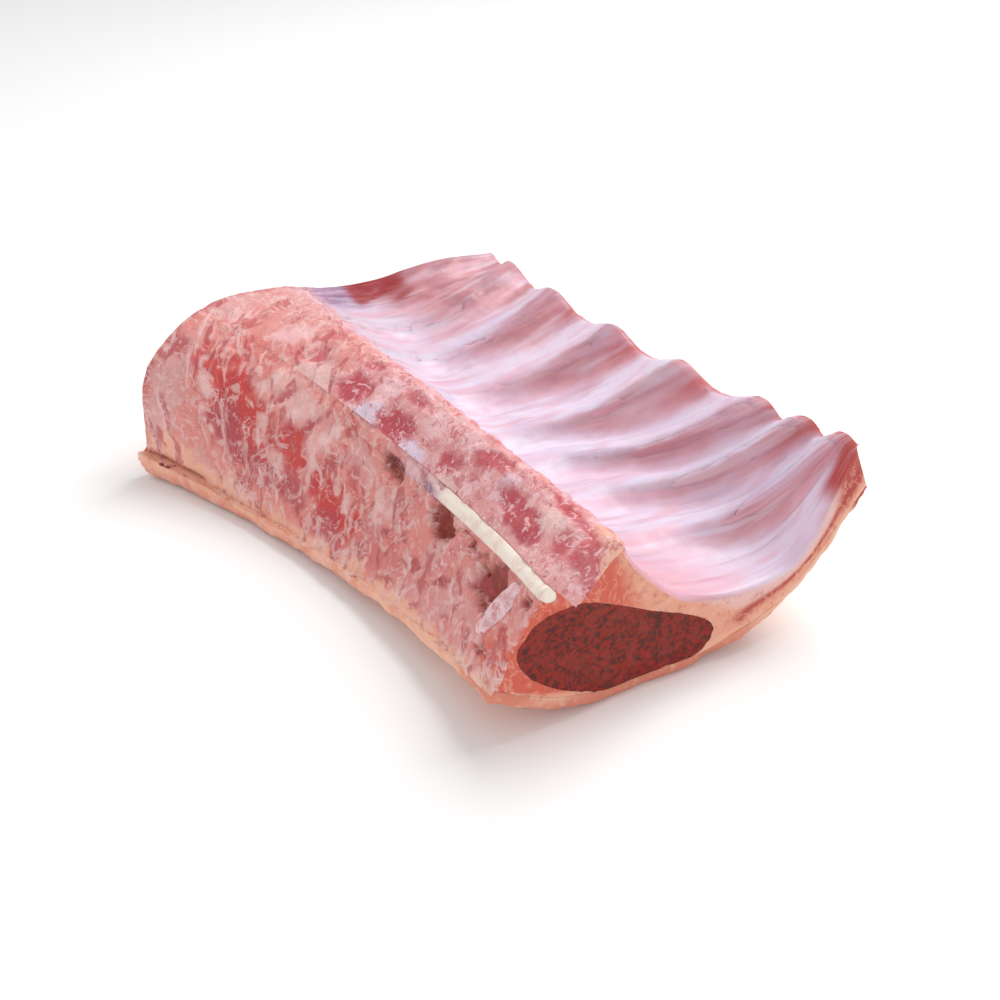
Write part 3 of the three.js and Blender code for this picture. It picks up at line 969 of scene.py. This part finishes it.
# Patches of the sawn chine: u, share of the way from the canal to the ribs, half length and half width in
# millimetres, tilt in radians, colour and cover.
CHINE_PATCHES = (
    (0.10, 0.35, 10, 5, 0.2, "muscle", 0.3),
    (0.03, 0.20, 6, 6, 0.0, "ash", 0.6),
    (0.18, 0.30, 7, 4, 0.3, "cartilage", 0.7),
    (0.29, 0.10, 11, 4, 0.1, "streak", 0.8),
    (0.435, 0.06, 7, 5, 0.4, "membrane", 0.8),
    (0.44, 0.42, 6, 4, 0.2, "cartilage", 0.8),
    (0.56, 0.03, 9, 3, 0.0, "membrane", 0.85),
    (0.58, 0.40, 5, 5, 0.0, "cartilage", 0.65),
    (0.68, 0.05, 6, 2.5, 0.0, "streak", 0.8),
    (0.67, 0.52, 4, 4, 0.0, "cartilage", 0.6),
    (0.79, 0.38, 4, 4, 0.3, "membrane", 0.5),
    (0.91, 0.40, 7, 3, 0.2, "streak", 0.85),
    (0.245, 0.24, 6.5, 3.6, 0.3, "marrow", 0.85),
    (0.37, 0.20, 7.5, 4.6, 0.3, "marrow", 0.95),
    (0.50, 0.13, 9, 4.8, 0.1, "marrow", 1.0),
    (0.65, 0.18, 6, 3, 0.3, "marrow", 0.85),
    (0.84, 0.25, 12, 4, -0.15, "marrow", 0.95),
    (0.895, 0.18, 5, 3, 0.2, "marrow", 0.8),
    (0.735, 0.48, 8, 3.2, 0.2, "marrow", 0.85),
    (0.955, 0.31, 4, 3.4, 0.0, "marrow", 0.8),
    (0.995, 0.38, 3.5, 5, 0.0, "marrow", 0.8),
    (0.93, 0.59, 12, 2.2, -0.1, "marrow", 0.85),
    (0.37, 0.52, 5, 2.2, 0.2, "marrow", 0.6),
    (0.51, 0.50, 7, 2.2, 0.0, "marrow", 0.65),
    (0.24, 0.56, 5, 2.4, 0.2, "marrow", 0.6),
)


def paint_backbone(coat, colours, u, v, points):
    """Marrow, cartilage and sinew on the sawn row. Returns how far its points rise with them."""
    rise = lay_patches(CHINE_PATCHES, coat, colours, u, v, CHINE_WIDTH, points)
    ridge = np.exp(-(((v - 0.7) / 0.07) ** 2)) * smooth(0.4, 0.6, u)
    coat.lay(colours.muscle, 0.5 * ridge * smooth(-0.3, 0.3, rumple(points, 6.0, 6.0)))
    coat.lay(colours.rose, 0.8 * smooth(0.74, 0.86, v + 0.05 * rumple(points, 5.0, 9.0)))
    coat.lay(colours.membrane, 0.8 * smooth(0.86, 0.98, v + 0.08 * rumple(points, 6.0, 9.0)))
    at_loin_end = smooth(0.955, 0.985, u + 0.01 * rumple(points, 5.0, 1.0))
    coat.lay(colours.fat, 0.95 * at_loin_end * smooth(0.5, 0.75, v))
    coat.lay(colours.ash, 0.45 * fade(0.1, 0.35, u) * smooth(0.0, 0.3, v))
    coat.lay(colours.blood, 0.5 * fade(0.004, 0.022, u + 0.01 * rumple(points, 4.0, 4.0)))
    return rise


def feather_bone(index, sizes, colours):
    """A sawn feather bone, which passes under the cord to join its vertebra."""
    at = FEATHERS[index]
    here = np.array([at])
    length = outline_length(here)[0]
    high = CANAL_AT + FEATHER_ROOT / length
    low = CANAL_AT - (CANAL_HEIGHT + FEATHER_HEIGHT) / length

    def slab(across, v, w, beyond):
        u = np.full_like(v, at)
        crown = FEATHER_PALE[index] * (PROUD + 0.7 * (1 - (2 * across - 1) ** 2))
        face = mix(-crown, CANAL_DEPTH + UNDER_CORD, smooth(*FEATHER_DIVE, v))
        section = under(u, mix(low, high, v), mix(face + FEATHER_DEPTH, face, w))
        points = place(u, section)
        narrow = 1 - 0.45 * (2 * v - 1) ** 2
        points[:, 0] += (across - 0.5) * FEATHER_WIDTH * narrow + FEATHER_SLANT * (v - 0.5)
        return points

    piece, (_, v, w) = with_space(f"feather_{index}", (8, 36, 5), slab)
    points = read_points(piece.data) / MM
    u = np.full_like(v, at)
    in_outline = mix(low, high, v)
    lift(piece, u, in_outline, unevenness(sizes, points, u, 0.0) * w)
    coat = Coat(len(points), blend(colours.pink, colours.bone, FEATHER_PALE[index]))
    coat.lay(colours.marrow, 0.35 * smooth(0.1, 0.5, rumple(points, 4.0, 8.0)))
    coat.put_on(piece.data)
    keep_lie(piece.data, u, in_outline, w)
    return piece


class RACK_OT_spinal_cord(Operator):
    """Models the cord that lies in the opened spinal canal"""

    bl_idname = "rack.spinal_cord"
    bl_label = "Spinal cord"

    def execute(self, context):
        sizes, colours = context.scene.rack_sizes, context.scene.rack_colours

        def strip(share, v, w, beyond):
            u = mix(CANAL_START, 1 + PAST_ENDS * beyond, share)
            length = outline_length(u)
            top = CANAL_AT - GAP / length * smooth(*CORD_SHOWS, share)
            bottom = CANAL_AT - (GAP + CANAL_HEIGHT) / length
            deep = CANAL_DEPTH * (1 - 0.4 * (2 * v - 1) ** 2)
            proud = (PROUD + 0.5 * (1 - (2 * v - 1) ** 2)) * smooth(*CORD_SHOWS, share) + PAST_FACE * beyond
            return place(u, under(u, mix(bottom, top, v), mix(deep, -proud, w)))

        piece, (share, v, w) = with_space("cord_strip", (120, 10, 6), strip)
        piece.data.materials.append(cord_finish(colours))
        piece.data.materials.append(sawn_finish(colours))
        points = read_points(piece.data) / MM
        buried = fade(*CORD_SHOWS, share + 0.04 * rumple(points, 4.0, 2.0))
        for face in piece.data.polygons:
            face.material_index = int(buried[list(face.vertices)].mean() > 0.5)
        u = mix(CANAL_START, 1, share)
        in_outline = CANAL_AT - (1 - v) * CANAL_HEIGHT / outline_length(u)
        keep_lie(piece.data, u, in_outline, w)
        coat = Coat(len(points), colours.pink)
        rise = paint_sawn_face(coat, colours, u, in_outline, points)
        coat.lay(blend(colours.ash, colours.membrane, 0.5), 0.8 * smooth(0.15, 0.4, share))
        coat.lay(colours.cord, 1 - buried)
        coat.lay(colours.ash, 0.3 * (1 - buried) * smooth(0.0, 0.5, rumple(points, 6.0, 5.0)))
        coat.lay(colours.purple, 0.85 * np.exp(-(((share - 0.39) / 0.05) ** 2)) * fade(0.3, 0.6, v))
        coat.put_on(piece.data)
        height = mix(CORD_LUMPS * rumple(points, 7.0, 1.0), rise + unevenness(sizes, points, u, 0.0), buried)
        lift(piece, u, in_outline, height * smooth(0.6, 1, w))
        finish_piece(piece, "cord", "spinal_cord")
        return {"FINISHED"}


class RACK_OT_fat_cover(Operator):
    """Models the fat cover on the outside of the rack"""

    bl_idname = "rack.fat_cover"
    bl_label = "Fat cover"

    def execute(self, context):
        sizes, colours = context.scene.rack_sizes, context.scene.rack_colours

        def layer(u, v, w):
            top = fat_top(u, v, 0)
            drop = corner_drop(FAT_CORNER, from_ends(u), np.minimum(v, 1 - v) * OUTLINE)
            low = mix(skin(u, v), top, (drop / FAT_DEEPEST)[:, None])
            return place(u, mix(low, top, w[:, None]))

        piece, (u, v, w) = block("fat_layer", (190, 150, 8), layer, (0.75, 0.75))
        piece.data.materials.append(fat_finish(colours))
        points = read_points(piece.data) / MM
        outer = fade(0.2, 0.9, w)
        rests = smooth(0.2, 2.0, points[:, 2])
        height = sizes.lumps * 1.2 * rumple(points, 11.0, 1.0) + sizes.grain * rumple(points, 3.0, 4.0)
        edge = np.maximum(fade(0, 0.015, v), smooth(0.985, 1, v))
        ends = np.maximum(fade(0, 0.01, u), smooth(0.99, 1, u))
        swell(piece, height * np.maximum(outer, np.maximum(edge, ends)) * mix(0.25, 1, rests))
        lowest = read_points(piece.data)
        lowest[:, 2] = np.maximum(lowest[:, 2], 0)
        write_points(piece.data, lowest)
        coat = Coat(len(points), colours.fat)
        # painted shade: the fat turns darker and redder towards the table
        coat.lay(colours.deep_fat_and_shade, 0.8 * fade(1.0, 7.0, points[:, 2] + 2 * rumple(points, 8.0, 3.0)))
        coat.lay(colours.streak, 0.35 * smooth(0.1, 0.6, rumple(points, 6.0, 6.0)))
        # painted shade under the loin end, on its lower fat and its foot
        coat.lay(colours.deep_fat_and_shade, 0.95 * smooth(0.95, 0.99, u) * fade(4.0, 13.0, points[:, 2]))
        coat.lay(colours.deep_fat_and_shade, 0.95 * smooth(0.86, 0.96, u) * fade(0.06, 0.2, v))
        coat.lay(colours.tip_red, 0.9 * smooth(0.972, 0.985, u) * smooth(0.955, 0.975, v))
        coat.put_on(piece.data)
        finish_piece(piece, "fat", "fat_cover")
        return {"FINISHED"}


# Patches of the sawn face: u, share of the height up to the canal, half length and half height in
# millimetres, tilt in radians, colour and cover.
FACE_PATCHES = (
    (0.16, 0.92, 12, 6, 0.0, "muscle", 0.3),
    (0.28, 0.82, 15, 7, -0.2, "streak", 0.55),
    (0.22, 0.80, 2.2, 5, -0.5, "streak", 0.8),
    (0.26, 0.78, 1.6, 5, -0.5, "marrow", 0.8),
    (0.30, 0.70, 2.2, 6, -0.4, "streak", 0.85),
    (0.34, 0.72, 1.8, 6, -0.4, "blood", 0.8),
    (0.39, 0.74, 2.4, 5, -0.4, "streak", 0.8),
    (0.43, 0.62, 1.8, 5, -0.3, "blood", 0.7),
    (0.48, 0.74, 10, 5, -0.2, "ash", 0.7),
    (0.60, 0.60, 9, 7, 0.0, "ash", 0.7),
    (0.61, 0.28, 13, 8, 0.0, "blood", 0.35),
    (0.73, 0.56, 7, 6, 0.3, "ash", 0.7),
    (0.82, 0.36, 13, 8, 0.0, "ash", 0.5),
    (0.045, 0.42, 6, 24, 0.0, "ash", 0.8),
    (0.03, 0.72, 5, 3, 0.0, "blood", 0.8),
    (0.10, 0.73, 8, 6, -0.3, "muscle", 0.85),
    (0.17, 0.62, 12, 9, -0.6, "muscle", 1.0),
    (0.20, 0.42, 14, 8, -0.5, "blood", 0.9),
    (0.27, 0.29, 12, 5, -0.3, "blood", 0.75),
    (0.34, 0.50, 13, 6, -0.5, "muscle", 0.95),
    (0.36, 0.27, 10, 5, -0.3, "blood", 0.75),
    (0.47, 0.33, 14, 9, -0.4, "muscle", 1.0),
    (0.455, 0.17, 7, 6, -0.8, "blood", 0.7),
    (0.25, 0.50, 11, 7, -0.5, "muscle", 0.85),
    (0.41, 0.41, 10, 6, -0.5, "muscle", 0.9),
    (0.115, 0.58, 5, 2, -0.6, "streak", 0.9),
    (0.31, 0.39, 5, 2.5, -0.4, "streak", 0.6),
    (0.37, 0.62, 4, 5, -0.3, "streak", 0.5),
    (0.49, 0.42, 2, 3.5, 0.2, "streak", 0.8),
    (0.605, 0.42, 3, 3, 0.0, "blood", 0.7),
    (0.69, 0.35, 4, 3, 0.0, "blood", 0.9),
    (0.765, 0.41, 7, 2.6, 0.5, "blood", 0.9),
    (0.545, 0.86, 6.0, 3.2, -0.3, "wedge", 0.9),
    (0.70, 0.77, 6.5, 6, -0.5, "wedge", 0.9),
    (0.71, 0.74, 4.5, 4.5, -0.4, "wedge", 1.0),
    (0.775, 0.80, 5, 2, -0.2, "wedge", 0.6),
    (0.88, 0.68, 10, 9, -0.6, "wedge", 0.95),
    (0.90, 0.62, 6.5, 6.5, -0.6, "wedge", 1.0),
    (0.975, 0.79, 2.5, 2, 0.0, "wedge", 0.75),
    (0.97, 0.30, 7, 13, 0.0, "orange_meat", 0.85),
    (0.93, 0.24, 3, 2.2, 0.2, "wedge", 0.7),
)
CURL = {"end": 0.17, "rise": 0.012, "depth": 2.2}  # the slit under the curled edge at the shoulder end


def paint_sawn_face(coat, colours, u, v, points):
    """Muscle, sinew and fat on the face that the saw made. Returns how far its points rise with them."""
    height = v / CANAL_AT
    coat.lay(colours.ash, 0.5 * smooth(0.0, 0.5, rumple(points, 9.0, 21.0)))
    rise = lay_patches(FACE_PATCHES, coat, colours, u, height, FACE_HEIGHT, points)
    fat_edge = 0.07 + 0.14 * fade(0.0, 0.3, u) + 0.06 * rumple(points, 9.0, 5.0)
    coat.lay(colours.fat, 0.9 * fade(fat_edge - 0.04, fat_edge + 0.04, height))
    coat.lay(colours.blood, 0.5 * fade(0.004, 0.022, u + 0.01 * rumple(points, 4.0, 4.0)))
    groove = np.exp(-(((height - 0.9) / 0.035) ** 2)) * smooth(0.6, 0.64, u) * fade(0.69, 0.73, u)
    coat.lay(colours.purple, 0.85 * groove)
    # painted shade: the slit under the curled edge is coloured dark brown-red as well as sunk in
    slit = fade(0.6, 1.4, v / CURL["rise"]) * fade(CURL["end"] - 0.05, CURL["end"], u)
    coat.lay(colours.wedge, slit)
    return rise - CURL["depth"] * MM * slit - 0.8 * MM * groove


# How far before a rib's crest the dark band of flesh and painted shade starts at the tips, as a share of the
# way to the next rib.
DARK_LEAD = 0.14


def paint_rib_side(coat, colours, u, v, points):
    """Lavender-white membrane with darker flesh beside each crest, widening to the tips, painted shade on the
    flank just past each crest and a painted highlight just before it.
    """
    on = smooth(RIB_START_AT - 0.05, RIB_START_AT + 0.02, v)
    coat.lay(colours.membrane, on)
    phase, _ = rib_phase(u, v)
    ragged = drawn_rumple(points, 0.4, 4.0, 3.0)
    to_tip = smooth(0.78, 1.0, v)
    phase = (phase + DARK_LEAD * to_tip + 0.04 * ragged) % 1
    last = mix(0.4, 0.58, smooth(0.78, 0.96, v))
    dark = smooth(0.0, 0.16, phase) * fade(last - 0.14, last + 0.1, phase) * smooth(0.72, 0.9, v)
    coat.lay(colours.rose, 0.5 * on * smooth(0.0, 0.5, drawn_rumple(points, 0.2, 5.0, 13.0)))
    coat.lay(colours.tan, mix(1.0, 0.75, u) * dark)
    # painted shade: mauve on the shaded flank just past each crest, strongest at the shoulder end
    coat.lay(colours.mauve, mix(1.0, 0.25, u) * dark * fade(0.22, 0.46, phase))
    red = smooth(0.93, 0.985, v) * fade(0.06, 0.2, np.abs(phase - last + 0.1))
    coat.lay(colours.tip_red, 0.7 * red)
    # painted highlight: a thin pale line on the lit flank just before each crest
    line = np.exp(-(((phase - 0.96) / 0.04) ** 2)) * smooth(0.8, 0.9, v)
    coat.lay(colours.membrane, 0.7 * line)
    # painted shade: the membrane turns darker towards the shoulder end
    coat.lay(colours.mauve, 0.26 * on * fade(0.15, 0.5, u))
    far = fade(0.12, 0.22, u + 0.02 * ragged)
    coat.lay(colours.tan, 0.95 * far * smooth(0.7, 0.8, v))
    coat.lay(colours.mauve, 0.75 * far * smooth(0.74, 0.84, v) * smooth(-0.3, 0.3, rumple(points, 7.0, 15.0)))
    low_rose = smooth(0.72, 0.95, u) * on * fade(0.72, 0.84, v)
    coat.lay(colours.rose, 0.9 * low_rose)
    coat.lay(colours.streak, 0.5 * low_rose * smooth(0.0, 0.5, drawn_rumple(points, 0.3, 4.0, 31.0)))
    at_shoulder_end = fade(0.05, 0.11, u + 0.02 * ragged)
    coat.lay(colours.purple, 0.9 * on * at_shoulder_end * fade(0.64, 0.7, v))
    coat.lay(colours.end_meat, end_meat(u, v, points))
    coat.lay(colours.tip_red, 0.95 * smooth(0.962, 0.985, u) * smooth(0.93, 0.96, v))


def end_meat(u, v, points):
    """1 on the dark meat that the membrane leaves bare at the shoulder end."""
    ragged = 0.02 * drawn_rumple(points, 0.4, 5.0, 3.0)
    return fade(0.05, 0.1, u + ragged) * smooth(0.61, 0.65, v) * fade(0.75, 0.81, v + ragged)


def paint_cut_ends(coat, colours, u, v, w, points):
    """The knife-cut ends and the tips, with fat outside and red meat in the flap."""
    end = np.maximum(smooth(1 - CUT_PAINT, 1, u), fade(0, CUT_PAINT, u))
    ragged = rumple(points, 5.0, 9.0)
    coat.lay(colours.orange_meat, end)
    end_fat = blend(colours.fat, colours.deep_fat_and_shade, 0.3)
    coat.lay(end_fat, 0.9 * end * smooth(0.40, 0.5, v + 0.03 * ragged))
    line = mix(0.13, 0.5, smooth(0.62, 0.88, v)) + 0.02 * ragged
    width = mix(0.05, 0.16, smooth(0.64, 0.9, v))
    coat.lay(colours.streak, 0.8 * end * smooth(0.7, 0.76, v) * smooth(0.0, 0.2, w - line))
    coat.lay(colours.tip_red, end * np.exp(-(((w - line) / width) ** 2)) * smooth(0.65, 0.69, v))
    coat.lay(colours.fat, 0.8 * end * fade(0.03, 0.1, w))
    coat.lay(colours.tip_red, 0.95 * end * smooth(0.93, 0.965, v) * smooth(0.1, 0.3, w))
    tip = smooth(1 - CUT_PAINT, 1, v)
    coat.lay(end_fat, tip)
    coat.lay(colours.tip_red, 0.85 * tip * smooth(0.25, 0.5, w + 0.15 * ragged))


class RACK_OT_meat(Operator):
    """Models the meat between the fat cover and the sawn face and rib side, cut round the other pieces"""

    bl_idname = "rack.meat"
    bl_label = "Meat"

    def execute(self, context):
        sizes, colours = context.scene.rack_sizes, context.scene.rack_colours

        def body(u, v, w):
            drop = corner_drop(MEAT_CORNER, from_ends(u), (1 - v) * OUTLINE * TIPS_OUTLINE)
            worn = v - KNOB_WEAR / (OUTLINE * TIPS_OUTLINE) * smooth(0.93, 1, v) * smooth(0.985, 1, u) ** 2
            run = tangent(UPPER, u, worn)
            top = upper(u, worn) + np.stack([run[:, 1], -run[:, 0]], axis=1) * drop[:, None]
            return place(u, mix(fat_top(u, v, -SEAM_LAP), top, w[:, None]))

        cells = (sizes.cells, round(sizes.cells * 0.85), 20)
        piece, (u, v, w) = block("meat_body", cells, body, (0.5, 0.0))
        points = read_points(piece.data) / MM
        on_ribs = smooth(RIB_START_AT, RIB_START_AT + 0.08, v)
        coat = Coat(len(points), colours.pink)
        rise = paint_sawn_face(coat, colours, u, v, points) * smooth(0.9, 1, w) * (1 - on_ribs)
        paint_rib_side(coat, colours, u, v, points)
        paint_cut_ends(coat, colours, u, v, w, points)
        coat.put_on(piece.data)
        keep_lie(piece.data, u, v, w)
        swell(piece, rise * smooth(0, 3, from_ends(u)) + unevenness(sizes, points, u, on_ribs))
        assign_faces(piece.data, u, v)
        for finish in (sawn_finish, membrane_finish, cut_finish):
            piece.data.materials.append(finish(colours))
        spaces = [thing for thing in bpy.data.objects if thing.name.startswith(SPACE)]
        carve(piece, spaces)
        for space in spaces:
            bpy.data.objects.remove(space)
        finish_piece(piece, "meat", "rack_meat")
        return {"FINISHED"}


def assign_faces(mesh, u, v):
    """The sawn face, the rib side and the cut ends each take their own finish."""
    for face in mesh.polygons:
        corners = list(face.vertices)
        if u[corners].min() > CUT_END or u[corners].max() < 1 - CUT_END or v[corners].min() > CUT_END:
            face.material_index = 2
        elif v[corners].mean() > RIB_START_AT - 0.02:
            face.material_index = 1


class RACK_OT_studio(Operator):
    """Lays the floor and sets the camera and the soft light"""

    bl_idname = "rack.studio"
    bl_label = "Studio"

    def execute(self, context):
        studio = context.scene.rack_studio
        shape = bmesh.new()
        bmesh.ops.create_grid(shape, x_segments=8, y_segments=8, size=3)
        mesh = bpy.data.meshes.new("studio_floor")
        shape.to_mesh(mesh)
        shape.free()
        mesh.materials.append(floor_finish(studio.floor))
        floor = bpy.data.objects.new("studio_floor", mesh)
        context.scene.collection.objects.link(floor)

        world = bpy.data.worlds.new("Studio light")
        world.use_nodes = True
        background = world.node_tree.nodes["Background"]
        background.inputs["Color"].default_value = (1, 1, 1, 1)
        background.inputs["Strength"].default_value = studio.ambient
        context.scene.world = world

        for name, power, size, here in (
            ("overhead", studio.lamp, 0.7, (-0.1, 0.6, 0.95)),
            ("fill", studio.fill, 0.8, (0.5, -0.9, 0.5)),
        ):
            lamp = bpy.data.lights.new(name, "AREA")
            lamp.shape = "DISK"
            lamp.size = size
            lamp.energy = power
            aim_from(context, lamp, Vector(here), Vector((0, 0, 0)))

        camera = bpy.data.cameras.new("camera")
        camera.sensor_width = SENSOR_WIDTH
        camera.lens = SENSOR_WIDTH * FOCAL_PIXELS / FRAME_PIXELS
        camera.shift_y = SHIFT_UP
        camera.clip_start = 0.01
        around, above = math.radians(AZIMUTH), math.radians(ELEVATION)
        level = math.cos(above)
        back = Vector((math.sin(around) * level, -math.cos(around) * level, math.sin(above)))
        target = Vector(TARGET) * MM
        context.scene.camera = aim_from(context, camera, target + back * studio.distance, target)
        context.scene.view_settings.view_transform = "Standard"
        return {"FINISHED"}


def aim_from(context, data, here, target):
    """Links a lamp or camera at a place, looking at a target."""
    thing = bpy.data.objects.new(data.name, data)
    context.scene.collection.objects.link(thing)
    thing.location = here
    thing.rotation_euler = (target - here).to_track_quat("-Z", "Y").to_euler()
    return thing


class RACK_PT_rack(Panel):
    """Lists the rack's pieces in the order that they are made"""

    bl_idname = "RACK_PT_rack"
    bl_label = "Rack of lamb"
    bl_space_type = "VIEW_3D"
    bl_region_type = "UI"
    bl_category = "Rack"

    def draw(self, context):
        for operator in OPERATORS:
            self.layout.operator(operator.bl_idname)
        for group in (context.scene.rack_sizes, context.scene.rack_colours, context.scene.rack_studio):
            for name in group.__annotations__:
                self.layout.prop(group, name)


OPERATORS = (
    RACK_OT_studio,
    RACK_OT_loin_eye,
    RACK_OT_rib_bones,
    RACK_OT_backbone,
    RACK_OT_spinal_cord,
    RACK_OT_fat_cover,
    RACK_OT_meat,
)
GROUPS = {"rack_sizes": RackSizes, "rack_colours": RackColours, "rack_studio": RackStudio}


def register():
    for kind in (*GROUPS.values(), *OPERATORS, RACK_PT_rack):
        bpy.utils.register_class(kind)
    for name, group in GROUPS.items():
        setattr(bpy.types.Scene, name, PointerProperty(type=group))


def unregister():
    for name in GROUPS:
        delattr(bpy.types.Scene, name)
    for kind in reversed((*GROUPS.values(), *OPERATORS, RACK_PT_rack)):
        bpy.utils.unregister_class(kind)


def main():
    register()
    for operator in OPERATORS:
        getattr(bpy.ops.rack, operator.bl_idname.split(".")[1])()


if __name__ == "__main__":
    main()
